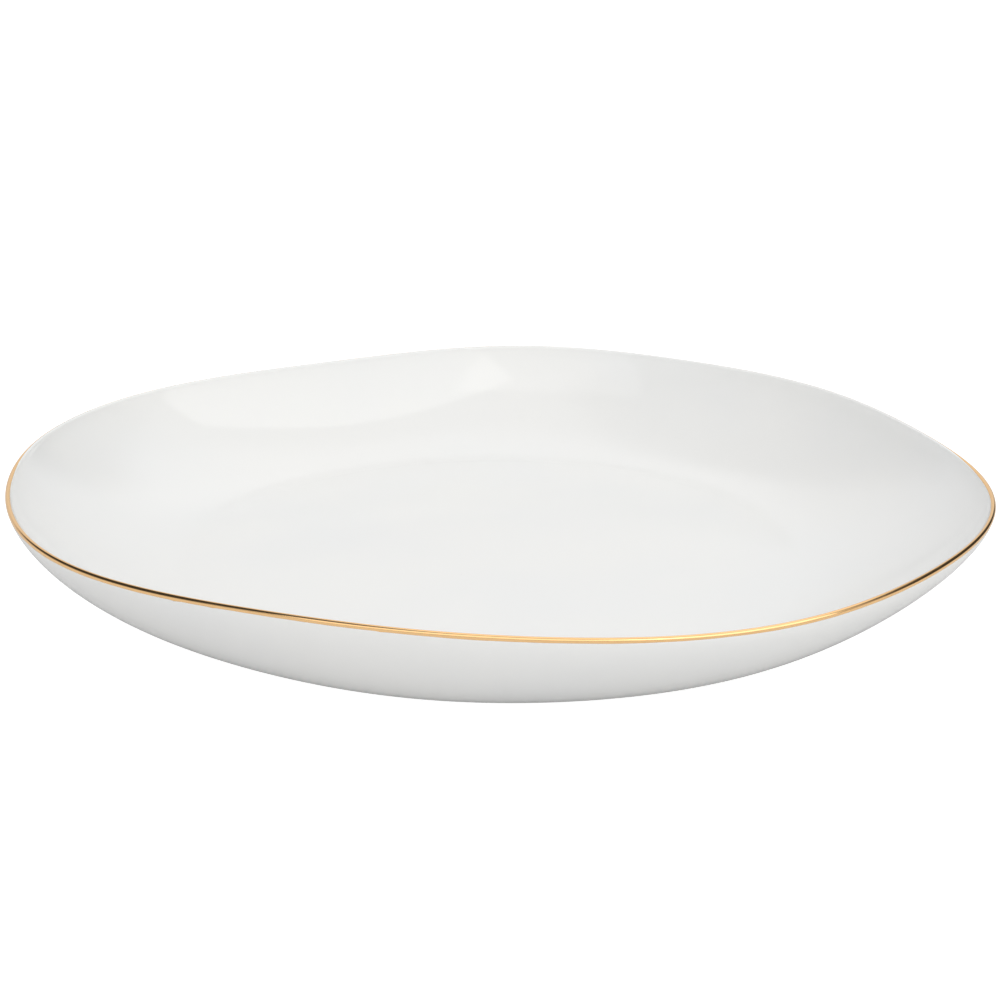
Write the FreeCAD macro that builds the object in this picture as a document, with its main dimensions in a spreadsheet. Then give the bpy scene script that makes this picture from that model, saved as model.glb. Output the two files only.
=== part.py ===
"""Fine china serving platter with a pebble-shaped rim and a gold rim line.

The platter stands on a round foot ring, with +Z up and its origin on the table under the middle of
its outline. Its rim lies level. Seen from above, the rim is a circle with eight small swells: the
first makes it egg-shaped, the second oval, and the others give it a hand-made pebble outline. The
wall starts level at the flat underside, which is a true circle, and curves up until it stands
upright at the lip, while the swells grow in.

The biscuit-fired china is one piece with its foot ring. The glaze on its face, the glaze on its
back, the glaze in its foot well and the gold line over its lip are coats of their own, each drawn
thick enough to be a solid.
"""

import FreeCAD, Part
import math
import os

import Sketcher

# Driving dimensions, in millimetres and degrees.
SIZES = {
    "RimHeight": 42.0,
    "FootHeight": 2.2,
    "MeanRadius": 166.3,
    "BaseRadius": 113.5,
    "FootShiftX": -1.7,
    "FootShiftY": 2.6,
    "BowlFlat": 1.79,
    "BowlSteep": 0.702,
    "LipWall": 1.6,
    "BaseWall": 3.4,
    "LipRound": 0.75,
    "Coat": 0.2,
    "GoldDrop": 0.65,
    "FootOuter": 101.0,
    "FootInner": 95.5,
    "FootRound": 1.1,
    "GlazeStop": 1.2,
}

# Rim swells: the name, how far it stands out and the direction of one of its crests. The first has
# one crest round the rim, the second has two, and so on.
SWELLS = (
    ("Egg", 3.2, -70.0),
    ("Oval", 11.4, -8.4),
    ("Three", 4.7, -48.5),
    ("Four", 0.87, -7.3),
    ("Five", 1.58, 4.1),
    ("Six", 0.90, -23.8),
    ("Seven", 0.93, -8.3),
    ("Eight", 0.55, -8.8),
)

POLES = 24
POLE_STEP = 360 / POLES
LEVELS = range(0, 91, 10)
CUT_MARGIN = 5.0


def fill_sheet(doc):
    """Writes every driving dimension into the sheet, one row each, under its own alias."""
    sheet = doc.addObject("Spreadsheet::Sheet", "Sizes")
    rows = dict(SIZES)
    for name, swell, turn in SWELLS:
        rows[name + "Swell"] = swell
        rows[name + "Turn"] = turn
    for row, (alias, value) in enumerate(rows.items(), start=1):
        sheet.set(f"A{row}", alias)
        sheet.set(f"B{row}", str(value))
        sheet.setAlias(f"B{row}", alias)
    doc.recompute()
    return sheet


def pole_gain(crests):
    """How far a pole stands outside the curve that it draws, for a swell with so many crests.

    A cubic spline with even poles cuts inside them by this much, so the poles go out by it.
    """
    step = math.radians(POLE_STEP)
    return 3 / (2 + math.cos(crests * step) * math.cos(step))


def run_out(level):
    """Expression: how far out the wall has gone, 0 at the underside and 1 at the lip."""
    return f"sin({level})^(2/Sizes.BowlFlat)"


def wall_height(level, offset="0"):
    """Expression: height of the back's surface at a level, set off square to the wall."""
    rise = "(Sizes.RimHeight-Sizes.LipWall/2-Sizes.Coat-Sizes.FootHeight)"
    share = f"(1-cos({level})^(2*Sizes.BowlSteep))"
    return f"Sizes.FootHeight+{rise}*{share}-({offset})*cos({level})"


def swell_sum(direction):
    """Expression: how far the rim's swells stand out together in a direction, at the poles."""
    terms = []
    for crests, (name, _, _) in enumerate(SWELLS, start=1):
        wave = f"cos({crests}*({direction}-Sizes.{name}Turn))"
        terms.append(f"{pole_gain(crests):.5f}*Sizes.{name}Swell*{wave}")
    return "+".join(terms)


def pole_radius(direction, level, offset):
    """Expression: distance of a pole from the axis, on the back's surface set off by offset."""
    mean = f"(Sizes.BaseRadius+(Sizes.MeanRadius-Sizes.BaseRadius)*{run_out(level)})"
    shape = f"({pole_gain(0):.5f}+{run_out(level)}*({swell_sum(direction)})/Sizes.MeanRadius)"
    return f"({mean}*{shape}+({offset})*sin({level}))"


def origin_plane(body, role):
    """The body's own origin plane with this role."""
    return next(plane for plane in body.Origin.OriginFeatures if plane.Role == role)


def level_sketch(body, name, height):
    """An empty sketch in a level plane at the height that the expression gives."""
    sketch = body.newObject("Sketcher::SketchObject", name)
    sketch.AttachmentSupport = [(origin_plane(body, "XY_Plane"), "")]
    sketch.MapMode = "FlatFace"
    sketch.setExpression("AttachmentOffset.Base.z", height)
    return sketch


def outline_sketch(body, name, level, offset):
    """The platter's closed outline at one level of the wall, as one spline bound to the sheet."""
    sketch = level_sketch(body, name, wall_height(level, offset))
    directions = [POLE_STEP * pole for pole in range(POLES)]
    start = [
        FreeCAD.Vector(SIZES["MeanRadius"] * math.cos(math.radians(direction)),
                       SIZES["MeanRadius"] * math.sin(math.radians(direction)), 0)
        for direction in directions
    ]
    curve = Part.BSplineCurve()
    curve.buildFromPolesMultsKnots(start, [1] * (POLES + 1), list(range(POLES + 1)), True, 3)
    spline = sketch.addGeometry(curve, False)
    handles = [
        sketch.addGeometry(Part.Circle(point, FreeCAD.Vector(0, 0, 1), 2), True) for point in start
    ]
    rules = [Sketcher.Constraint("Weight", handles[0], 1.0)]
    rules += [Sketcher.Constraint("Equal", handles[0], handle) for handle in handles[1:]]
    for pole, handle in enumerate(handles):
        role = "InternalAlignment:Sketcher::BSplineControlPoint"
        rules.append(Sketcher.Constraint(role, handle, 3, spline, pole))
    sketch.addConstraint(rules)
    still_to_go = f"(1-{run_out(level)})"
    dimensions = []
    for pole, (handle, point, direction) in enumerate(zip(handles, start, directions)):
        radius = pole_radius(direction, level, offset)
        dimensions += [
            (f"PoleX{pole}", ("DistanceX", -1, 1, handle, 3, point.x),
             f"{radius}*cos({direction})+Sizes.FootShiftX*{still_to_go}"),
            (f"PoleY{pole}", ("DistanceY", -1, 1, handle, 3, point.y),
             f"{radius}*sin({direction})+Sizes.FootShiftY*{still_to_go}"),
        ]
    bind(sketch, dimensions)
    return sketch


def bind(sketch, dimensions):
    """Adds named dimensions to a sketch, each given as (name, rule, expression to bind it to)."""
    rules = []
    for name, rule, _ in dimensions:
        rules.append(Sketcher.Constraint(*rule))
        rules[-1].Name = name
    sketch.addConstraint(rules)
    for name, _, expression in dimensions:
        sketch.setExpression(f"Constraints.{name}", expression)


def bowl_loft(body, kind, name, offset):
    """A loft of the whole bowl, from the underside to the lip, with its surface set off.

    offset(level) gives the expression for how far it stands outside the china's back.
    """
    sketches = [outline_sketch(body, f"{name}{level}", level, offset(level)) for level in LEVELS]
    body.Document.recompute()
    loft = body.newObject(kind, name)
    loft.Profile = (sketches[0], [""])
    loft.Sections = [(sketch, [""]) for sketch in sketches[1:]]
    body.Document.recompute()
    return loft


def on_back(level):
    """The china's back surface."""
    return "0"


def on_back_glaze(level):
    """The outside of the glaze on the back."""
    return "Sizes.Coat"


def on_face(level):
    """The china's face: the wall is thick at the floor and thin at the lip."""
    return f"-(Sizes.LipWall+(Sizes.BaseWall-Sizes.LipWall)*cos({level}))"


def on_face_glaze(level):
    """The outside of the glaze on the face."""
    return f"{on_face(level)}-Sizes.Coat"


def ring_sketch(body, name, height, radii):
    """Circles about the foot's centre, each with its radius bound to an expression."""
    sketch = level_sketch(body, name, height)
    for number, radius in enumerate(radii, start=1):
        middle = FreeCAD.Vector(SIZES["FootShiftX"], SIZES["FootShiftY"], 0)
        circle = sketch.addGeometry(Part.Circle(middle, FreeCAD.Vector(0, 0, 1), 10 * number), False)
        bind(sketch, [
            (f"MiddleX{number}", ("DistanceX", -1, 1, circle, 3, middle.x), "Sizes.FootShiftX"),
            (f"MiddleY{number}", ("DistanceY", -1, 1, circle, 3, middle.y), "Sizes.FootShiftY"),
            (f"Radius{number}", ("Radius", circle, 10 * number), radius),
        ])
    return sketch


def pad(body, name, profile, length):
    """A pad straight up from a level sketch or face."""
    feature = body.newObject("PartDesign::Pad", name)
    feature.Profile = profile
    feature.setExpression("Length", length)
    body.Document.recompute()
    return feature


def pocket_up(body, name, sketch, length):
    """A pocket that cuts straight up from a level sketch."""
    before = body.Tip.Shape.Volume
    feature = body.newObject("PartDesign::Pocket", name)
    feature.Profile = sketch
    feature.Reversed = True
    feature.setExpression("Length", length)
    body.Document.recompute()
    if feature.Shape.Volume >= before:
        raise RuntimeError(f"{name} cuts nothing")
    return feature


def edge_names(shape, wanted):
    """Names of the shape's edges that wanted(edge) picks."""
    return [f"Edge{number}" for number, edge in enumerate(shape.Edges, start=1) if wanted(edge)]


def fillet(body, name, wanted, radius):
    """Rounds the edges of the body's last feature that wanted(edge) picks."""
    base = body.Tip
    feature = body.newObject("PartDesign::Fillet", name)
    feature.Base = (base, edge_names(base.Shape, wanted))
    feature.setExpression("Radius", radius)
    body.Document.recompute()
    return feature


def lip_coat(body, name):
    """A coat swept round the lip, over its round top and a little way down its outer side."""
    path = outline_sketch(body, name + "Path", 90, "-Sizes.LipWall/2")
    body.Document.recompute()
    section = body.newObject("Sketcher::SketchObject", name + "Section")
    section.AttachmentSupport = [(path, "Edge1")]
    section.MapMode = "NormalToEdge"
    inner_radius = SIZES["LipWall"] / 2
    outer_radius = inner_radius + SIZES["Coat"]
    inner = section.addGeometry(half_circle(inner_radius), False)
    outer = section.addGeometry(half_circle(outer_radius), False)
    for arc in (inner, outer):
        section.addConstraint(Sketcher.Constraint("Coincident", arc, 3, -1, 1))
        section.addConstraint(Sketcher.Constraint("PointOnObject", arc, 1, -1))
        section.addConstraint(Sketcher.Constraint("PointOnObject", arc, 2, -1))
    join(section, (inner, 2), (outer, 2))
    inner_side = drop_line(section, inner, inner_radius)
    outer_side = drop_line(section, outer, outer_radius)
    foot = join(section, (inner_side, 2), (outer_side, 2))
    section.addConstraint(Sketcher.Constraint("Horizontal", foot))
    bind(section, [
        ("InnerRadius", ("Radius", inner, inner_radius), "Sizes.LipWall/2"),
        ("OuterRadius", ("Radius", outer, outer_radius), "Sizes.LipWall/2+Sizes.Coat"),
        ("Drop", ("DistanceY", inner_side, 2, inner_side, 1, SIZES["GoldDrop"]), "Sizes.GoldDrop"),
    ])
    body.Document.recompute()
    pipe = body.newObject("PartDesign::AdditivePipe", name)
    pipe.Profile = (section, [""])
    pipe.Spine = (path, ["Edge1"])
    body.Document.recompute()
    return pipe


def half_circle(radius):
    """The upper half of a circle about a sketch's origin, from its outer end to its inner end."""
    circle = Part.Circle(FreeCAD.Vector(0, 0, 0), FreeCAD.Vector(0, 0, 1), radius)
    return Part.ArcOfCircle(circle, 0, math.pi)


def join(sketch, first, last):
    """A line between two end points in a sketch, each given as (geometry, point)."""
    ends = [sketch.getPoint(*end) for end in (first, last)]
    line = sketch.addGeometry(Part.LineSegment(*ends), False)
    sketch.addConstraint(Sketcher.Constraint("Coincident", line, 1, *first))
    sketch.addConstraint(Sketcher.Constraint("Coincident", line, 2, *last))
    return line


def drop_line(sketch, arc, radius):
    """An upright line down from an arc's outer end."""
    top = FreeCAD.Vector(radius, 0, 0)
    line = sketch.addGeometry(Part.LineSegment(top, top - FreeCAD.Vector(0, SIZES["GoldDrop"], 0)), False)
    sketch.addConstraint(Sketcher.Constraint("Coincident", line, 1, arc, 1))
    sketch.addConstraint(Sketcher.Constraint("Vertical", line))
    return line


def new_body(doc, label):
    """An empty body, placed at the origin, whose label is its node's name."""
    body = doc.addObject("PartDesign::Body", label)
    body.Label = label
    body.Placement = FreeCAD.Placement()
    return body


def build_china_body(doc):
    """The biscuit-fired china: the bowl, hollowed, with its foot ring and its rounded lip."""
    body = new_body(doc, "china_body")
    bowl_loft(body, "PartDesign::AdditiveLoft", "Bowl", on_back)
    bowl_loft(body, "PartDesign::SubtractiveLoft", "Dish", on_face)
    faces = body.Tip.Shape.Faces
    lip_face = max(range(len(faces)), key=lambda number: faces[number].BoundBox.ZMin)
    pad(body, "Lip", (body.Tip, [f"Face{lip_face + 1}"]), "Sizes.LipWall/2")
    lip_top = body.Tip.Shape.BoundBox.ZMax
    fillet(body, "LipRound", lambda edge: edge.BoundBox.ZMin > lip_top - 0.1, "Sizes.LipRound")
    ring = ring_sketch(body, "FootRing", "0", ("Sizes.FootOuter", "Sizes.FootInner"))
    pad(body, "Foot", ring, "Sizes.FootHeight+Sizes.BaseWall/2")
    fillet(body, "FootRound", lambda edge: edge.BoundBox.ZMax < 0.1, "Sizes.FootRound")
    return body


def build_face_glaze(doc):
    """The glaze on the face: over the floor and up the wall to the gold."""
    body = new_body(doc, "face_glaze")
    bowl_loft(body, "PartDesign::AdditiveLoft", "Face", on_face)
    bowl_loft(body, "PartDesign::SubtractiveLoft", "Air", on_face_glaze)
    return body


def build_back_glaze(doc):
    """The glaze on the back: from the gold down the wall, in to the foot and down its side."""
    body = new_body(doc, "back_glaze")
    bowl_loft(body, "PartDesign::AdditiveLoft", "Coat", on_back_glaze)
    bowl_loft(body, "PartDesign::SubtractiveLoft", "Back", on_back)
    under = ring_sketch(body, "FootPlace", "Sizes.FootHeight-Sizes.Coat-0.1", ("Sizes.FootOuter",))
    pocket_up(body, "FootHole", under, "Sizes.Coat+0.2")
    side = ring_sketch(body, "FootSide", "Sizes.GlazeStop", ("Sizes.FootOuter+Sizes.Coat", "Sizes.FootOuter"))
    pad(body, "FootCoat", side, "Sizes.FootHeight-Sizes.GlazeStop")
    over = ring_sketch(body, "GoldEdge", wall_height(90) + "-Sizes.GoldDrop",
                       (f"Sizes.MeanRadius+{CUT_MARGIN}*Sizes.OvalSwell",))
    pocket_up(body, "GoldPlace", over, "Sizes.GoldDrop+0.1")
    return body


def build_foot_well_glaze(doc):
    """The glaze inside the foot ring: over the underside and down the ring's inner side."""
    body = new_body(doc, "foot_well_glaze")
    under = ring_sketch(body, "Under", "Sizes.FootHeight-Sizes.Coat", ("Sizes.FootInner",))
    pad(body, "UnderCoat", under, "Sizes.Coat")
    side = ring_sketch(body, "FootSide", "Sizes.GlazeStop", ("Sizes.FootInner", "Sizes.FootInner-Sizes.Coat"))
    pad(body, "FootCoat", side, "Sizes.FootHeight-Sizes.GlazeStop")
    return body


def build_gold_rim_line(doc):
    """The gold line: over the round of the lip and a little way down its outer side."""
    body = new_body(doc, "gold_rim_line")
    lip_coat(body, "GoldLine")
    return body


def check(doc, bodies):
    """Stops the build if any feature failed or any sub-part isn't one valid solid."""
    for item in doc.Objects:
        if {"Invalid", "Error"} & set(item.State):
            raise RuntimeError(f"{item.Label} failed: {item.State}")
    for body in bodies:
        shape = body.Shape
        if shape.isNull() or not shape.isValid() or len(shape.Solids) != 1:
            raise RuntimeError(f"{body.Label} isn't one valid solid")
        print(f"{body.Label}: {shape.Volume / 1000:.1f} cm3")


def main():
    doc = FreeCAD.newDocument("Platter")
    fill_sheet(doc)
    bodies = [
        build_china_body(doc),
        build_face_glaze(doc),
        build_back_glaze(doc),
        build_foot_well_glaze(doc),
        build_gold_rim_line(doc),
    ]
    doc.recompute()
    check(doc, bodies)
    os.makedirs("parts", exist_ok=True)
    for body in bodies:
        body.Shape.exportStep(f"parts/{body.Label}.step")


main()
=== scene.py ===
"""Studio scene of a fine china serving platter with a pebble-shaped rim and a gold rim line.

Every surface is worked out as whole numpy arrays of rings: a ring is the platter's closed outline at
one place on its section, and a piece is a stack of rings that runs once round its section. Sizes are
in metres and angles in degrees. The rim lies level, +X is the platter's longer side and +Y runs away
from the front.
"""

import logging
import math
from dataclasses import dataclass, field
from enum import Enum

import bpy
import numpy as np
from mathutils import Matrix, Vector


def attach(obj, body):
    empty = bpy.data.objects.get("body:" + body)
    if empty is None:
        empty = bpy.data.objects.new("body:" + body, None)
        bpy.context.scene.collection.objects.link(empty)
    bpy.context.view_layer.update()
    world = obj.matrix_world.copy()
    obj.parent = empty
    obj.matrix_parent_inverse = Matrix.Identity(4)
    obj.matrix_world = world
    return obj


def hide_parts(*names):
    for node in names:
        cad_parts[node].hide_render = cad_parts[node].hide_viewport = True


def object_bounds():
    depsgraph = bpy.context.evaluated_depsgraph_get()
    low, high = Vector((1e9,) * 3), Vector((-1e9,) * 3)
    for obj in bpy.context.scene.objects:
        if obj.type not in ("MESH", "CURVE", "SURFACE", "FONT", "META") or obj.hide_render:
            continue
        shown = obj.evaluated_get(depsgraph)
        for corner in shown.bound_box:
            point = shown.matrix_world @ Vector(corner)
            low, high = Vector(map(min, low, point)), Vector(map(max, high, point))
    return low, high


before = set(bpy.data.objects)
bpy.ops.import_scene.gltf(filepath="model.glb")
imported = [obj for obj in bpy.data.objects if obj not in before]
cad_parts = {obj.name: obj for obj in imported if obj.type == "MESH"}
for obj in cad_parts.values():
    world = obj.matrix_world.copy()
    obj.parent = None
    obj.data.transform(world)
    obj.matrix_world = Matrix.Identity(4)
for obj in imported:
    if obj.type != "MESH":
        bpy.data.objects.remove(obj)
cad_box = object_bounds()

LOG = logging.getLogger("platter")
MM = 0.001
ROUND = 640
BODY = "root"


class Ends(Enum):
    """How a stack of rings is closed."""

    LOOPED = "the last ring joins the first"
    POLED = "a point closes the first ring and another the last"


class Socket:
    """One output of a node that Python's operators work on."""

    def __init__(self, graph: "Graph", output: bpy.types.NodeSocket) -> None:
        """Keeps the output and the graph that it belongs to."""
        self.graph = graph
        self.output = output

    def _math(self, operation: str, first: object, second: object) -> "Socket":
        """Adds a Math node and returns its result."""
        node = self.graph.node("ShaderNodeMath", {"operation": operation}, {0: first, 1: second})
        return Socket(self.graph, node.outputs[0])

    def __add__(self, other: object) -> "Socket":
        """self + other."""
        return self._math("ADD", self, other)

    def __radd__(self, other: object) -> "Socket":
        """other + self."""
        return self._math("ADD", other, self)

    def __sub__(self, other: object) -> "Socket":
        """self - other."""
        return self._math("SUBTRACT", self, other)

    def __rsub__(self, other: object) -> "Socket":
        """other - self."""
        return self._math("SUBTRACT", other, self)

    def __mul__(self, other: object) -> "Socket":
        """self * other."""
        return self._math("MULTIPLY", self, other)

    def __rmul__(self, other: object) -> "Socket":
        """other * self."""
        return self._math("MULTIPLY", other, self)

    def between(self, low: float, high: float) -> "Socket":
        """A smooth step: 0 up to low and 1 from high.

        Args:
            low: the value where the step starts.
            high: the value where the step ends.

        Returns:
            The stepped value.
        """
        sockets = {"Value": self, "From Min": low, "From Max": high}
        node = self.graph.node("ShaderNodeMapRange", {"interpolation_type": "SMOOTHSTEP"}, sockets)
        return Socket(self.graph, node.outputs["Result"])


class Graph:
    """A node tree, built from Python expressions."""

    def __init__(self, owner: bpy.types.Material | bpy.types.World) -> None:
        """Empties the node tree of a material or a world.

        Args:
            owner: the material or world.
        """
        owner.use_nodes = True
        self.owner = owner
        self.tree = owner.node_tree
        self.tree.nodes.clear()

    def node(self, kind: str, settings: dict[str, object], sockets: dict[object, object]) -> bpy.types.Node:
        """Adds one node.

        Args:
            kind: the node's type.
            settings: the node's own settings, set before its sockets.
            sockets: values or links for its inputs, by name or number.

        Returns:
            The node.
        """
        node = self.tree.nodes.new(kind)
        for name, value in settings.items():
            setattr(node, name, value)
        for name, value in sockets.items():
            if isinstance(value, Socket):
                self.tree.links.new(value.output, node.inputs[name])
            else:
                node.inputs[name].default_value = value
        return node

    def parts(self, vector: Socket) -> list[Socket]:
        """A vector's x, y and z."""
        return [Socket(self, part) for part in self.node("ShaderNodeSeparateXYZ", {}, {0: vector}).outputs]


class Shader(Graph):
    """One material's node tree."""

    def __init__(self, name: str) -> None:
        """Makes an empty material with that name."""
        super().__init__(bpy.data.materials.new(name))

    def place(self) -> Socket:
        """Object coordinates, in metres."""
        return Socket(self, self.node("ShaderNodeTexCoord", {}, {}).outputs["Object"])

    def attribute(self, name: str) -> Socket:
        """A vector that the piece's own mesh carries."""
        node = self.node("ShaderNodeAttribute", {"attribute_name": name}, {})
        return Socket(self, node.outputs["Vector"])

    def noise(self, where: Socket, size: float, detail: float = 2.0) -> Socket:
        """Cloudy noise from 0 to 1.

        Args:
            where: the coordinates that it is read at.
            size: the size of its largest clouds, in the coordinates' unit.
            detail: how many finer octaves it has.

        Returns:
            The noise.
        """
        sockets = {"Vector": where, "Scale": 1 / size, "Detail": detail, "Roughness": 0.5}
        return Socket(self, self.node("ShaderNodeTexNoise", {}, sockets).outputs[0])

    def dots(self, where: Socket, spacing: float, radius: float, share: float) -> Socket:
        """Rare round dots, 1 in a dot and 0 outside.

        Args:
            where: the coordinates that they are read at.
            spacing: the size of the cells that can each hold a dot.
            radius: a dot's radius, in cells.
            share: the share of the cells that hold one.

        Returns:
            The mask.
        """
        cells = self.node("ShaderNodeTexVoronoi", {}, {"Vector": where, "Scale": 1 / spacing})
        near = 1 - Socket(self, cells.outputs["Distance"]).between(radius * 0.5, radius)
        picked = self.node("ShaderNodeSeparateColor", {}, {"Color": Socket(self, cells.outputs["Color"])})
        return near * (1 - Socket(self, picked.outputs[0]).between(share, share + 0.001))

    def mix(self, factor: object, low: object, high: object) -> Socket:
        """A colour between two.

        Args:
            factor: 0 for low and 1 for high.
            low: the first colour, or a socket that gives it.
            high: the second, likewise.

        Returns:
            The mixed colour.
        """
        sockets = {"Factor": factor, 6: low, 7: high}
        node = self.node("ShaderNodeMix", {"data_type": "RGBA"}, sockets)
        return Socket(self, node.outputs[2])

    def bump(self, height: Socket, depth: float) -> Socket:
        """A bumped normal for a height from 0 to 1 that stands for depth metres."""
        node = self.node("ShaderNodeBump", {}, {"Height": height, "Distance": depth, "Strength": 1.0})
        return Socket(self, node.outputs[0])

    def finish(self, sockets: dict[str, object]) -> bpy.types.Material:
        """Adds the Principled shader and the output.

        Args:
            sockets: values or links for the Principled shader's inputs.

        Returns:
            The material.
        """
        surface = self.node("ShaderNodeBsdfPrincipled", {}, sockets)
        self.node("ShaderNodeOutputMaterial", {}, {"Surface": Socket(self, surface.outputs[0])})
        return self.owner


@dataclass(frozen=True)
class ClearGlaze:
    """Clear glossy glaze over white china, with the faint waves and pinholes of a hand-dipped piece."""

    white: tuple[float, ...] = (0.88, 0.88, 0.868, 1.0)
    pooled: tuple[float, ...] = (0.86, 0.865, 0.862, 1.0)
    speck: tuple[float, ...] = (0.62, 0.60, 0.56, 1.0)
    gloss: float = 0.05
    dulling: float = 0.03
    wave_size: float = 45 * MM
    wave_depth: float = 0.05 * MM
    peel_size: float = 2.2 * MM
    peel_depth: float = 0.0012 * MM
    speck_cell: float = 14 * MM
    speck_radius: float = 0.012
    speck_share: float = 0.10

    def material(self, name: str) -> bpy.types.Material:
        """Builds the glaze.

        Args:
            name: the material's name.

        Returns:
            The material.
        """
        shader = Shader(name)
        place = shader.place()
        clouds = shader.noise(place, self.wave_size * 1.6)
        specks = shader.dots(place, self.speck_cell, self.speck_radius, self.speck_share)
        colour = shader.mix(clouds.between(0.35, 0.75), self.white, self.pooled)
        colour = shader.mix(specks, colour, self.speck)
        waves = shader.noise(place, self.wave_size, 1.0) * self.wave_depth
        peel = shader.noise(place, self.peel_size, 2.0) * self.peel_depth
        return shader.finish({
            "Base Color": colour,
            "Roughness": self.gloss + self.dulling * shader.noise(place, self.peel_size * 3),
            "IOR": 1.5,
            "Normal": shader.bump(waves + peel, 1.0),
        })


@dataclass(frozen=True)
class BareChina:
    """Dry unglazed china, wiped clean on the foot."""

    pale: tuple[float, ...] = (0.80, 0.785, 0.75, 1.0)
    rubbed: tuple[float, ...] = (0.66, 0.63, 0.58, 1.0)
    rub: float = 0.6
    rub_size: float = 9 * MM
    grain_size: float = 0.5 * MM
    grain_depth: float = 0.02 * MM

    def material(self, name: str) -> bpy.types.Material:
        """Builds the bare china.

        Args:
            name: the material's name.

        Returns:
            The material.
        """
        shader = Shader(name)
        place = shader.place()
        grain = shader.noise(place, self.grain_size, 4.0)
        rubbing = shader.noise(place, self.rub_size, 3.0).between(0.45, 0.8)
        return shader.finish({
            "Base Color": shader.mix(rubbing * self.rub, self.pale, self.rubbed),
            "Roughness": 0.75 + 0.2 * grain,
            "Normal": shader.bump(grain, self.grain_depth),
        })


@dataclass(frozen=True)
class BrightGold:
    """Burnished gold laid on with a brush along the rim, faintly streaked and a little dull in patches."""

    bright: tuple[float, ...] = (1.0, 0.64, 0.31, 1.0)
    worn: tuple[float, ...] = (0.88, 0.53, 0.25, 1.0)
    wear: float = 0.7
    gloss: float = 0.08
    patch_dulling: float = 0.10
    streak_dulling: float = 0.04
    patch_size: float = 7 * MM
    streak_size: float = 0.25
    streak_depth: float = 0.003 * MM

    def material(self, name: str) -> bpy.types.Material:
        """Builds the gold.

        Args:
            name: the material's name.

        Returns:
            The material.
        """
        shader = Shader(name)
        around, across, _ = shader.parts(shader.attribute(GoldLine.BRUSH))
        path = Socket(shader, shader.node("ShaderNodeCombineXYZ", {}, {0: around, 1: across}).outputs[0])
        streaks = shader.noise(path, self.streak_size, 3.0)
        patches = shader.noise(shader.place(), self.patch_size, 3.0)
        colour = shader.mix(streaks.between(0.45, 0.8) * self.wear, self.bright, self.worn)
        dulled = self.patch_dulling * patches.between(0.5, 0.8) + self.streak_dulling * streaks
        return shader.finish({
            "Base Color": colour,
            "Metallic": 1.0,
            "Roughness": self.gloss + dulled,
            "Normal": shader.bump(streaks, self.streak_depth),
        })


@dataclass(frozen=True)
class Swell:
    """One wave of the rim's outline: its crests round the rim, its height and where one crest lies."""

    crests: int
    height: float
    turn: float


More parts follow.
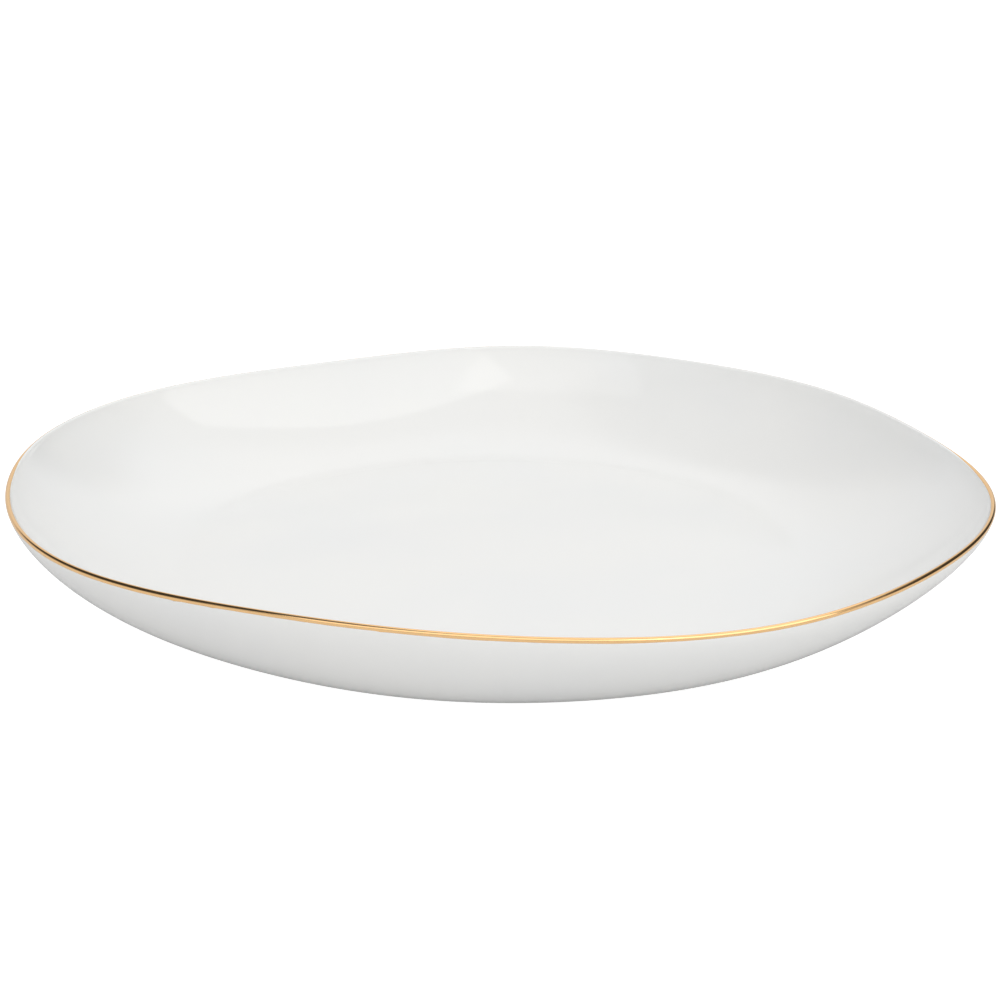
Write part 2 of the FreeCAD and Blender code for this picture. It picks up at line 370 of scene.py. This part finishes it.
@dataclass(frozen=True)
class Section:
    """The platter's section and outline, which every piece is worked out from.

    The rim's outline is a circle of the mean radius with its swells added. The wall starts as a
    true circle at the level underside and curves out and up to the lip along a quarter of a
    superellipse, while the swells grow in. A level of 0 is the underside and 90 is the lip. The
    glaze of the face and of the back meet on the lip at the seam's turn, under the gold.
    """

    rim_height: float = 42.0 * MM
    foot_height: float = 2.2 * MM
    mean_radius: float = 166.3 * MM
    base_radius: float = 113.5 * MM
    foot_shift: tuple[float, float] = (-1.7 * MM, 2.6 * MM)
    bowl_flat: float = 1.79
    bowl_steep: float = 0.702
    lip_wall: float = 1.6 * MM
    base_wall: float = 3.4 * MM
    coat: float = 0.2 * MM
    glaze_seam: float = 80.0
    swells: tuple[Swell, ...] = (
        Swell(1, 3.2 * MM, -70.0),
        Swell(2, 11.4 * MM, -8.4),
        Swell(3, 4.7 * MM, -48.5),
        Swell(4, 0.87 * MM, -7.3),
        Swell(5, 1.58 * MM, 4.1),
        Swell(6, 0.90 * MM, -23.8),
        Swell(7, 0.93 * MM, -8.3),
        Swell(8, 0.55 * MM, -8.8),
    )

    @property
    def directions(self) -> np.ndarray:
        """The directions that every ring is worked out at, in radians."""
        return np.linspace(0, 2 * math.pi, ROUND, endpoint=False)

    @property
    def departure(self) -> np.ndarray:
        """How far the rim stands out from its mean circle in each direction."""
        around = self.directions
        return sum(s.height * np.cos(s.crests * (around - math.radians(s.turn))) for s in self.swells)

    @property
    def lip_height(self) -> float:
        """Height of the centre of the lip's round."""
        return self.rim_height - self.coat - self.lip_wall / 2

    def thickness(self, levels: np.ndarray) -> np.ndarray:
        """The china's thickness: it falls from the floor to the lip as the cosine of the level."""
        return self.lip_wall + (self.base_wall - self.lip_wall) * np.cos(np.radians(levels))

    def back(self, levels: np.ndarray) -> np.ndarray:
        """Rings on the china's back.

        The wall goes out by sin(level) to the power 2 / bowl_flat and up by 1 - cos(level) to the
        power 2 * bowl_steep. The swells and the foot's shift grow and fade with its way out.

        Args:
            levels: one level for each ring, or one for each ring and direction.

        Returns:
            An array of rings by directions by x, y and z.
        """
        levels = np.asarray(levels, float)
        angle = np.radians(levels if levels.ndim == 2 else levels[:, None])
        out = np.sin(angle) ** (2 / self.bowl_flat)
        up = 1 - np.clip(np.cos(angle), 0, 1) ** (2 * self.bowl_steep)
        mean = self.base_radius + (self.mean_radius - self.base_radius) * out
        radius = mean * (1 + out * self.departure / self.mean_radius)
        x = radius * np.cos(self.directions) + self.foot_shift[0] * (1 - out)
        y = radius * np.sin(self.directions) + self.foot_shift[1] * (1 - out)
        z = self.foot_height + (self.lip_height - self.foot_height) * up + 0 * radius
        return np.stack([x, y, z], axis=-1)

    def set_off(self, levels: np.ndarray, offset: np.ndarray) -> np.ndarray:
        """Rings that stand off the china's back, square to the wall.

        Args:
            levels: the levels of the rings.
            offset: how far each stands outside the back; a negative one lies inside.

        Returns:
            An array of rings by directions by x, y and z.
        """
        levels = np.asarray(levels, float)
        offset = np.broadcast_to(offset, levels.shape)
        rings = self.back(levels)
        outward = plan_normals(rings)
        rings[..., :2] += (offset * np.sin(np.radians(levels)))[:, None, None] * outward
        rings[..., 2] -= (offset * np.cos(np.radians(levels)))[:, None]
        return rings

    def lip(self, turns: np.ndarray, radius: np.ndarray) -> np.ndarray:
        """Rings round the lip, on a round about its centre line.

        Args:
            turns: the angle of each ring round the section, 0 outwards, 90 up and 180 inwards. One
                number or one for each direction.
            radius: the radius of the round, likewise.

        Returns:
            An array of rings by directions by x, y and z.
        """
        centre = self.set_off(np.array([90.0]), -self.lip_wall / 2)
        outward = plan_normals(centre)
        turns = np.radians(np.asarray(turns, float))
        turns = turns[:, None] if turns.ndim == 1 else turns
        radius = np.asarray(radius, float)
        radius = radius[:, None] if radius.ndim == 1 else radius
        side = (radius * np.cos(turns) + np.zeros(ROUND))[..., None]
        rise = (radius * np.sin(turns) + np.zeros(ROUND))[..., None]
        return np.concatenate([centre[..., :2] + side * outward, centre[..., 2:] + rise], axis=-1)

    def circles(self, radii: np.ndarray, heights: np.ndarray) -> np.ndarray:
        """Rings that are true circles about the foot's centre.

        Args:
            radii: their radii.
            heights: their heights.

        Returns:
            An array of rings by directions by x, y and z.
        """
        radii = np.asarray(radii, float)[:, None]
        x = self.foot_shift[0] + radii * np.cos(self.directions)
        y = self.foot_shift[1] + radii * np.sin(self.directions)
        z = np.asarray(heights, float)[:, None] + 0 * x
        return np.stack([x, y, z], axis=-1)

    def floor(self, height: float, shares: np.ndarray) -> np.ndarray:
        """Level rings from the middle of the floor outwards, as shares of its radius."""
        return self.circles(self.base_radius * np.asarray(shares), np.full(len(shares), height))


def smooth_step(value: np.ndarray, low: float, high: float) -> np.ndarray:
    """A smooth step: 3 t squared - 2 t cubed between two values.

    Args:
        value: the values to step.
        low: the value where the step starts.
        high: the value where the step ends.

    Returns:
        The stepped values, 0 up to low and 1 from high.
    """
    share = np.clip((value - low) / (high - low), 0, 1)
    return share * share * (3 - 2 * share)


def plan_normals(rings: np.ndarray) -> np.ndarray:
    """Outward directions of rings, seen from above: each chord's direction turned a quarter.

    Args:
        rings: an array of rings by directions by x, y and z.

    Returns:
        An array of rings by directions by x and y, each of length 1.
    """
    chord = np.roll(rings[..., :2], -1, axis=-2) - np.roll(rings[..., :2], 1, axis=-2)
    chord /= np.linalg.norm(chord, axis=-1, keepdims=True)
    return np.stack([chord[..., 1], -chord[..., 0]], axis=-1)


def quarter(radius: float, first: float, last: float, steps: int) -> tuple[np.ndarray, np.ndarray]:
    """Points of an arc.

    Args:
        radius: the arc's radius.
        first: the angle that it starts at, in degrees.
        last: the angle that it ends at.
        steps: how many points it has.

    Returns:
        How far across from its centre the points lie, and how far up.
    """
    angle = np.radians(np.linspace(first, last, steps))
    return radius * np.cos(angle), radius * np.sin(angle)


def stack(name: str, rings: np.ndarray, ends: Ends, material: bpy.types.Material) -> bpy.types.Object:
    """Joins a stack of rings into one closed, smooth mesh.

    Neighbouring rings are joined by quads. The faces are turned to point outwards, by the sign of the
    volume that they enclose.

    Args:
        name: the piece's name.
        rings: an array of rings by directions by x, y and z.
        ends: how the stack is closed.
        material: its finish.

    Returns:
        The object, at the origin.
    """
    count = len(rings)
    points = rings.reshape(-1, 3)
    upper = np.arange(count - 1 if ends is Ends.POLED else count)
    here = np.arange(ROUND)
    a = upper[:, None] * ROUND + here
    b = upper[:, None] * ROUND + (here + 1) % ROUND
    c = (upper[:, None] + 1) % count * ROUND + (here + 1) % ROUND
    d = (upper[:, None] + 1) % count * ROUND + here
    quads = np.stack([a, b, c, d], axis=-1).reshape(-1, 4)
    triangles = np.zeros((0, 3), int)
    if ends is Ends.POLED:
        poles = np.stack([rings[0].mean(0), rings[-1].mean(0)])
        points = np.concatenate([points, poles])
        top, bottom = len(points) - 2, len(points) - 1
        last = (count - 1) * ROUND
        start = np.stack([np.full(ROUND, top), (here + 1) % ROUND, here], axis=-1)
        stop = np.stack([np.full(ROUND, bottom), last + here, last + (here + 1) % ROUND], axis=-1)
        triangles = np.concatenate([start, stop])
    halves = np.concatenate([quads[:, [0, 1, 2]], quads[:, [0, 2, 3]], triangles])
    p, q, r = (points[halves[:, i]] for i in range(3))
    if np.einsum("ij,ij->", p, np.cross(q, r)) < 0:
        quads, triangles = quads[:, ::-1], triangles[:, ::-1]
    return mesh_object(name, points, quads, triangles, material)


def mesh_object(name: str, points: np.ndarray, quads: np.ndarray, triangles: np.ndarray,
                material: bpy.types.Material) -> bpy.types.Object:
    """Puts points and faces into a smooth-shaded mesh object.

    Args:
        name: the object's name.
        points: an array of points by x, y and z.
        quads: an array of faces by four corners.
        triangles: an array of faces by three corners.
        material: its finish.

    Returns:
        The object, in the scene, at the origin.
    """
    mesh = bpy.data.meshes.new(name)
    corners = np.concatenate([quads.ravel(), triangles.ravel()]).astype(np.int32)
    sizes = np.concatenate([np.full(len(quads), 4), np.full(len(triangles), 3)])
    starts = np.concatenate([[0], np.cumsum(sizes)[:-1]]).astype(np.int32)
    mesh.vertices.add(len(points))
    mesh.vertices.foreach_set("co", points.astype(np.float32).ravel())
    mesh.loops.add(len(corners))
    mesh.loops.foreach_set("vertex_index", corners)
    mesh.polygons.add(len(sizes))
    mesh.polygons.foreach_set("loop_start", starts)
    mesh.update(calc_edges=True)
    mesh.validate()
    mesh.polygons.foreach_set("use_smooth", np.ones(len(sizes), bool))
    mesh.materials.append(material)
    piece = bpy.data.objects.new(name, mesh)
    bpy.context.scene.collection.objects.link(piece)
    return piece


def settle(piece: bpy.types.Object, node: str) -> None:
    """Makes a piece ride on the platter and stand for its CAD node.

    Args:
        piece: the piece.
        node: the CAD node that it stands for.
    """
    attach(piece, BODY)
    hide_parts(node)
    LOG.info("%s: %d faces", piece.name, len(piece.data.polygons))


@dataclass
class Foot:
    """The foot ring's section, shared by the china and by the glaze that stops short of its edge."""

    outer: float = 101.0 * MM
    inner: float = 95.5 * MM
    edge_round: float = 1.1 * MM
    glaze_stop: float = 1.2 * MM
    glaze_edge: float = 0.05 * MM
    pooling: float = 0.7 * MM

    def rounded_stop(self, wall: float, coat: float) -> tuple[list[float], list[float]]:
        """The rounded lower edge of the glaze on one side of the foot.

        Args:
            wall: the radius of that side of the foot.
            coat: how far the glaze stands off it, less than 0 on the inner side.

        Returns:
            The radii and the heights of its two rings.
        """
        return [wall + coat * 0.8, wall + coat * 0.2], [self.glaze_stop - self.glaze_edge, self.glaze_stop]


@dataclass
class ChinaBody:
    """The biscuit-fired china: bowl, lip and foot ring in one closed surface."""

    section: Section
    foot: Foot
    finish: BareChina = field(default_factory=BareChina)
    wall_steps: int = 40
    lip_steps: int = 11
    edge_steps: int = 6

    def build(self) -> bpy.types.Object:
        """Runs once round the section, from the middle of the floor over the lip to the underside.

        Returns:
            The china body.
        """
        s, foot = self.section, self.foot
        levels = np.linspace(0, 90, self.wall_steps)
        floor = s.floor(s.foot_height + s.base_wall, [0.3, 0.7, 0.95])
        face = s.set_off(levels, -s.thickness(levels))
        lip = s.lip(np.linspace(180, 0, self.lip_steps)[1:-1], np.full(self.lip_steps - 2, s.lip_wall / 2))
        back = s.set_off(levels[::-1], 0)
        side, rise = quarter(foot.edge_round, 0, -90, self.edge_steps)
        outer_edge = s.circles(foot.outer - foot.edge_round + side, foot.edge_round + rise)
        inner_edge = s.circles(foot.inner + foot.edge_round - side[::-1], foot.edge_round + rise[::-1])
        top_outer = s.circles([foot.outer], [s.foot_height])
        top_inner = s.circles([foot.inner], [s.foot_height])
        under = s.circles([foot.inner * 0.6, foot.inner * 0.2], [s.foot_height] * 2)
        rings = np.concatenate([floor, face, lip, back, top_outer, outer_edge, inner_edge, top_inner, under])
        return stack("china_biscuit", rings, Ends.POLED, self.finish.material("bare_china"))


@dataclass
class FaceGlaze:
    """The glaze over the floor, up the face and round to the top of the lip."""

    section: Section
    finish: ClearGlaze
    wall_steps: int = 64
    lip_steps: int = 12

    def build(self) -> bpy.types.Object:
        """Runs out along the glaze's outside, over the lip's inner half, and back along its inside.

        Returns:
            The glaze.
        """
        s = self.section
        levels = np.linspace(0, 90, self.wall_steps)
        turns = np.linspace(180, s.glaze_seam, self.lip_steps)[1:]
        radius = s.lip_wall / 2
        top = s.foot_height + s.base_wall
        shares = [0.15, 0.4, 0.65, 0.85, 0.96]
        rings = np.concatenate([
            s.floor(top + s.coat, shares),
            s.set_off(levels, -s.thickness(levels) - s.coat),
            s.lip(turns, np.full(len(turns), radius + s.coat)),
            s.lip(turns[::-3], np.full(len(turns[::-3]), radius)),
            s.set_off(levels[::-3], -s.thickness(levels[::-3])),
            s.floor(top, shares[::-2]),
        ])
        return stack("glaze_on_face", rings, Ends.POLED, self.finish.material("glaze_face"))


@dataclass
class BackGlaze:
    """The glaze from the top of the lip down the back and down the outer side of the foot."""

    section: Section
    foot: Foot
    finish: ClearGlaze
    wall_steps: int = 64
    lip_steps: int = 12
    pool_steps: int = 6

    def build(self) -> bpy.types.Object:
        """Runs down the glaze's outside to where it stops on the foot, and back up its inside.

        Returns:
            The glaze.
        """
        s, foot = self.section, self.foot
        levels = np.linspace(90, 0, self.wall_steps)
        turns = np.linspace(s.glaze_seam, 0, self.lip_steps)[:-1]
        radius = s.lip_wall / 2
        side, rise = quarter(foot.pooling, 90, 180, self.pool_steps)
        pool_middle = foot.outer + s.coat + foot.pooling
        pool = s.circles(pool_middle + side, s.foot_height - s.coat - foot.pooling + rise)
        rings = np.concatenate([
            s.lip(turns, np.full(len(turns), radius + s.coat)),
            s.set_off(levels, s.coat),
            pool,
            s.circles(*foot.rounded_stop(foot.outer, s.coat)),
            s.circles([foot.outer], [s.foot_height]),
            s.set_off(levels[::-3], 0),
            s.lip(turns[::-3], np.full(len(turns[::-3]), radius)),
        ])
        return stack("glaze_on_back", rings, Ends.LOOPED, self.finish.material("glaze_back"))


@dataclass
class FootWellGlaze:
    """The glaze inside the foot ring."""

    section: Section
    foot: Foot
    finish: ClearGlaze
    pool_steps: int = 6

    def build(self) -> bpy.types.Object:
        """Runs out over the underside, down the foot's inner side and back inside itself.

        Returns:
            The glaze.
        """
        s, foot = self.section, self.foot
        shares = np.array([0.2, 0.5, 0.8, 0.95])
        side, rise = quarter(foot.pooling, 90, 0, self.pool_steps)
        pool_middle = foot.inner - s.coat - foot.pooling
        face = s.foot_height - s.coat
        rings = np.concatenate([
            s.circles(pool_middle * shares, np.full(len(shares), face)),
            s.circles(pool_middle + side, face - foot.pooling + rise),
            s.circles(*foot.rounded_stop(foot.inner, -s.coat)),
            s.circles([foot.inner], [s.foot_height]),
            s.circles(pool_middle * shares[::-1], np.full(len(shares), s.foot_height)),
        ])
        return stack("glaze_in_foot_well", rings, Ends.POLED, self.finish.material("glaze_foot_well"))


@dataclass
class GoldLine:
    """The gold line that a brush has laid over the lip, a little uneven along both its edges.

    It reaches over the lip to its inner side along the front and both tips, and only to the top of
    the lip along the back, where the brush was lifted sooner.
    """

    BRUSH = "brush_path"

    section: Section
    finish: BrightGold = field(default_factory=BrightGold)
    front_edge: float = 114.0
    tip_edge: float = 142.0
    back_edge: float = 75.0
    tips_start: tuple[float, float] = (0.80, 0.95)
    back_starts: tuple[float, float] = (-0.05, 0.26)
    drop: float = 0.62 * MM
    build_up: float = 0.03 * MM
    edge_build_up: float = 0.012 * MM
    sunk: float = 0.04 * MM
    lip_steps: int = 28
    drop_steps: int = 5
    path_length: tuple[float, float] = (8.0, 2.0)
    wander: tuple[tuple[int, float, float], ...] = (
        (7, 0.05, 10), (19, 0.035, 75), (43, 0.022, 140), (97, 0.012, 20)
    )
    runs: tuple[tuple[float, float, float], ...] = (
        (-131.0, 0.5, 0.30), (-126.0, 0.3, 0.16), (-104.0, 0.4, 0.18)
    )

    def edge_wander(self, phase: float) -> np.ndarray:
        """How far an edge strays in each direction: a sum of waves of rising number and falling height."""
        around = self.section.directions
        return MM * sum(h * np.sin(n * around + math.radians(turn + phase)) for n, h, turn in self.wander)

    def inner_edge(self) -> np.ndarray:
        """Where the line begins on the lip: one height in front, further in at the tips, less far behind.

        Returns:
            The turn round the lip in each direction, in degrees up from outward.
        """
        tips = smooth_step(np.abs(np.cos(self.section.directions)), *self.tips_start)
        behind = smooth_step(np.sin(self.section.directions), *self.back_starts)
        before = self.front_edge + (self.tip_edge - self.front_edge) * tips
        return before + (self.back_edge - before) * behind

    def run_down(self) -> np.ndarray:
        """Where the gold has run a little further down: a few narrow bell curves round the rim.

        Returns:
            How much further down the line ends in each direction.
        """
        degrees = np.degrees(self.section.directions)
        total = np.zeros(ROUND)
        for middle, width, depth in self.runs:
            away = (degrees - middle + 180) % 360 - 180
            total += depth * MM * np.exp(-(away / width) ** 2)
        return total

    def build(self) -> bpy.types.Object:
        """Runs over the lip and down its outer side on the gold's outside, and back inside the glaze.

        Returns:
            The gold line.
        """
        s = self.section
        radius = s.lip_wall / 2 + s.coat
        across = np.linspace(0, 1, self.lip_steps)[:, None]
        first_turn = self.inner_edge() + np.degrees(self.edge_wander(90) / radius)
        turns = first_turn * (1 - across)
        crown = np.sin(0.6 * math.pi * across) ** 0.5
        built = self.edge_build_up + (self.build_up - self.edge_build_up) * crown
        down = np.linspace(0, 1, self.drop_steps + 1)[1:, None]
        drop = (self.drop + self.edge_wander(0) + self.run_down()) * down
        fading = self.edge_build_up + (built[-1] - self.edge_build_up) * (1 - down ** 3)
        rings = np.concatenate([
            s.lip(turns, radius + built + 0 * turns),
            self.skirt(drop, fading + 0 * drop),
            self.skirt(drop, -self.sunk + 0 * drop)[::-1],
            s.lip(turns[::-1], radius - self.sunk + 0 * turns),
        ])
        piece = stack("gold_line", rings, Ends.LOOPED, self.finish.material("bright_gold"))
        over_lip, whole_lip = radius * np.radians(first_turn - turns), radius * np.radians(first_turn)
        travelled = np.concatenate([over_lip, whole_lip + drop])
        share = travelled / travelled[-1]
        self.mark_brush_path(piece, np.concatenate([share, share[::-1]]))
        return piece

    def skirt(self, drop: np.ndarray, proud: np.ndarray) -> np.ndarray:
        """Rings below the lip on its outer side, that follow the back's curve under the gold.

        Args:
            drop: how far each ring lies below the lip's centre, in each direction.
            proud: how far each ring stands outside the glaze.

        Returns:
            An array of rings by directions by x, y and z.
        """
        s = self.section
        up = 1 - drop / (s.lip_height - s.foot_height)
        levels = np.degrees(np.arccos((1 - up) ** (1 / (2 * s.bowl_steep))))
        rings = s.back(levels)
        rings[..., :2] += (s.coat + proud)[..., None] * plan_normals(rings)
        return rings

    def mark_brush_path(self, piece: bpy.types.Object, share: np.ndarray) -> None:
        """Gives the mesh the brush's path, round the rim and across the line.

        Args:
            piece: the gold line.
            share: each point's share of the way across the line.
        """
        around = self.path_length[0] * np.sin(self.section.directions / 2) + 0 * share
        path = np.stack([around, self.path_length[1] * share, 0 * share], axis=-1)
        layer = piece.data.attributes.new(self.BRUSH, "FLOAT_VECTOR", "POINT")
        layer.data.foreach_set("vector", path.astype(np.float32).ravel())


@dataclass(frozen=True)
class SoftBox:
    """One studio light: a lit rectangle that faces the platter.

    An azimuth of 0 is in front of the platter and 90 is to its right.
    """

    name: str
    azimuth: float
    elevation: float
    distance: float
    width: float
    height: float
    brightness: float
    tint: tuple[float, float, float] = (1.0, 1.0, 1.0)

    def build(self, target: Vector) -> None:
        """Hangs the light and turns it to the platter.

        A lamp of brightness 1 looks as bright as paper that is fully lit by a room of strength 1,
        so its power is its brightness times pi times its area.

        Args:
            target: the point that it faces.
        """
        light = bpy.data.lights.new(self.name, "AREA")
        light.shape = "RECTANGLE"
        light.size, light.size_y = self.width, self.height
        light.energy = self.brightness * math.pi * self.width * self.height
        light.color = self.tint
        lamp = bpy.data.objects.new(self.name, light)
        bpy.context.scene.collection.objects.link(lamp)
        face(lamp, target, self.distance * heading(self.azimuth, self.elevation))


@dataclass(frozen=True)
class Flag:
    """A dark card with soft edges that only shiny surfaces mirror, placed like the soft boxes."""

    name: str
    azimuth: float
    elevation: float
    distance: float
    width: float
    height: float
    tone: float
    soft_edge: float = 0.75

    def build(self, target: Vector) -> None:
        """Stands the card at its distance and turns it to the platter.

        Args:
            target: the point that it faces.
        """
        shader = Shader(self.name)
        x, y, _ = shader.parts(shader.place())
        x, y = x * (2 / self.width), y * (2 / self.height)
        cover = (1 - x * x).between(0.0, self.soft_edge) * (1 - y * y).between(0.0, self.soft_edge)
        finish = shader.finish({
            "Base Color": (self.tone, self.tone, self.tone, 1.0),
            "Roughness": 1.0,
            "Specular IOR Level": 0.0,
            "Alpha": cover,
        })
        sides = np.array([(-1, -1, 0), (1, -1, 0), (1, 1, 0), (-1, 1, 0)])
        points = sides * (self.width / 2, self.height / 2, 0)
        card = mesh_object(self.name, points, np.array([[0, 1, 2, 3]]), np.zeros((0, 3), int), finish)
        face(card, target, self.distance * heading(self.azimuth, self.elevation))
        card.visible_camera = card.visible_diffuse = card.visible_shadow = False


def heading(azimuth: float, elevation: float) -> Vector:
    """The direction towards an azimuth, 0 in front and 90 to the right, and an elevation."""
    a, e = math.radians(azimuth), math.radians(elevation)
    return Vector((math.sin(a) * math.cos(e), -math.cos(a) * math.cos(e), math.sin(e)))


def face(thing: bpy.types.Object, target: Vector, offset: Vector) -> None:
    """Puts a light, a card or the camera at an offset from a point and turns it to look there.

    Args:
        thing: the object to place.
        target: the point that it looks at.
        offset: where it stands from there.
    """
    thing.location = target + offset
    thing.rotation_euler = (target - thing.location).to_track_quat("-Z", "Y").to_euler()


@dataclass
class Studio:
    """The pale table, the lights and the camera round the platter."""

    aim: tuple[float, float] = (1.0 * MM, -29.8 * MM)
    eye_height: float = 20.0
    eye_distance: float = 1.070
    lens: float = 108.0
    sensor: float = 36.0
    table_reach: float = 8.0
    table_tone: float = 0.70
    table_glow: float = 0.07
    table_drop: float = 0.2 * MM
    table_depth: float = 0.3
    booth_height: float = 6.0
    booth_tone: float = 0.35
    booth_glow: float = 0.96
    low_sky: float = 0.42
    high_sky: float = 0.645
    back_glow: float = 0.25
    left_glow: float = 0.20
    top_glow: float = 0.55
    sky_climb: tuple[float, float] = (0.0, 0.6)
    back_spread: tuple[float, float] = (0.55, 0.95)
    left_spread: tuple[float, float] = (0.3, 0.95)
    top_lean: tuple[float, float, float] = (0.15, 0.45, 0.88)
    top_spread: tuple[float, float] = (0.8, 1.0)
    boxes: tuple[SoftBox, ...] = (
        SoftBox("right_box", 46, 35, 1.7, 1.85, 1.6, 1.04, (1.0, 0.995, 0.965)),
        SoftBox("front_box", -13, 36, 1.7, 1.9, 1.6, 0.67),
    )
    flags: tuple[Flag, ...] = (
        Flag("left_flag", -95, 42, 2.0, 4.2, 3.0, 0.06),
        Flag("right_flag", 122, 16, 2.0, 2.7, 2.3, 0.07),
    )

    def build(self) -> None:
        """Sets up everything that isn't part of the platter."""
        target = Vector((*self.aim, cad_box[1][2]))
        self.lay_table()
        self.light_room()
        for light in (*self.boxes, *self.flags):
            light.build(target)
        self.set_camera(target)
        bpy.context.scene.view_settings.view_transform = "Standard"

    def lay_table(self) -> None:
        """A pale table that lights the platter from below, in a white booth that only the camera sees."""
        heights = (-self.table_depth, -self.table_drop)
        table = self.block("studio_table", heights, self.table_tone, self.table_glow)
        booth = self.block("studio_booth", (0.0, self.booth_height), self.booth_tone, self.booth_glow)
        table.visible_camera = False
        booth.visible_diffuse = booth.visible_glossy = booth.visible_shadow = False

    def block(self, name: str, heights: tuple[float, float], tone: float, glow: float) -> bpy.types.Object:
        """A wide square block in one plain tone.

        Args:
            name: the block's name.
            heights: the heights of its underside and its top.
            tone: the share of light that it scatters.
            glow: the light that it gives off.

        Returns:
            The block.
        """
        finish = Shader(name).finish({
            "Base Color": (tone, tone, tone, 1.0),
            "Roughness": 0.9,
            "Specular IOR Level": 0.0,
            "Emission Color": (1.0, 1.0, 1.0, 1.0),
            "Emission Strength": glow,
        })
        sides = self.table_reach * np.array([(-1, -1), (1, -1), (1, 1), (-1, 1)])
        points = np.array([(x, y, height) for height in heights for x, y in sides])
        quads = np.array([[3, 2, 1, 0], [4, 5, 6, 7], [0, 1, 5, 4], [1, 2, 6, 5], [2, 3, 7, 6], [3, 0, 4, 7]])
        piece = mesh_object(name, points, quads, np.zeros((0, 3), int), finish)
        return piece

    def light_room(self) -> None:
        """A pale room: a little dimmer towards the horizon and brighter behind, at the left and overhead."""
        world = bpy.data.worlds.new("studio_room")
        graph = Graph(world)
        direction = Socket(graph, graph.node("ShaderNodeTexCoord", {}, {}).outputs["Generated"])
        across, back, up = graph.parts(direction)
        overhead = self.top_lean[0] * across + self.top_lean[1] * back + self.top_lean[2] * up
        tone = self.low_sky + (self.high_sky - self.low_sky) * up.between(*self.sky_climb)
        tone = tone + self.back_glow * back.between(*self.back_spread)
        tone = tone + self.left_glow * (0 - across).between(*self.left_spread)
        tone = tone + self.top_glow * overhead.between(*self.top_spread)
        light = graph.node("ShaderNodeBackground", {}, {"Strength": tone})
        light.inputs["Color"].default_value = (1.0, 1.0, 1.0, 1.0)
        graph.node("ShaderNodeOutputWorld", {}, {"Surface": Socket(graph, light.outputs[0])})
        bpy.context.scene.world = world

    def set_camera(self, target: Vector) -> None:
        """A long lens a little above the table, in front of the platter.

        Args:
            target: the point that it looks at.
        """
        camera = bpy.data.cameras.new("studio_camera")
        camera.lens, camera.sensor_width = self.lens, self.sensor
        eye = bpy.data.objects.new("studio_camera", camera)
        bpy.context.scene.collection.objects.link(eye)
        face(eye, target, self.eye_distance * heading(0, self.eye_height))
        bpy.context.scene.camera = eye


def corners(box: tuple[Vector, Vector]) -> list[list[float]]:
    """A box's two corners as plain lists of numbers."""
    return [list(map(float, corner)) for corner in box]


def main() -> None:
    """Builds the platter's pieces in order, then the studio."""
    logging.basicConfig(level=logging.INFO)
    section, foot, glaze = Section(), Foot(), ClearGlaze()
    settle(ChinaBody(section, foot).build(), "china_body")
    settle(FaceGlaze(section, glaze).build(), "face_glaze")
    settle(BackGlaze(section, foot, glaze).build(), "back_glaze")
    settle(FootWellGlaze(section, foot, glaze).build(), "foot_well_glaze")
    settle(GoldLine(section).build(), "gold_rim_line")
    Studio().build()
    LOG.info("studio: lit, with its camera set")


if __name__ == "__main__":
    main()
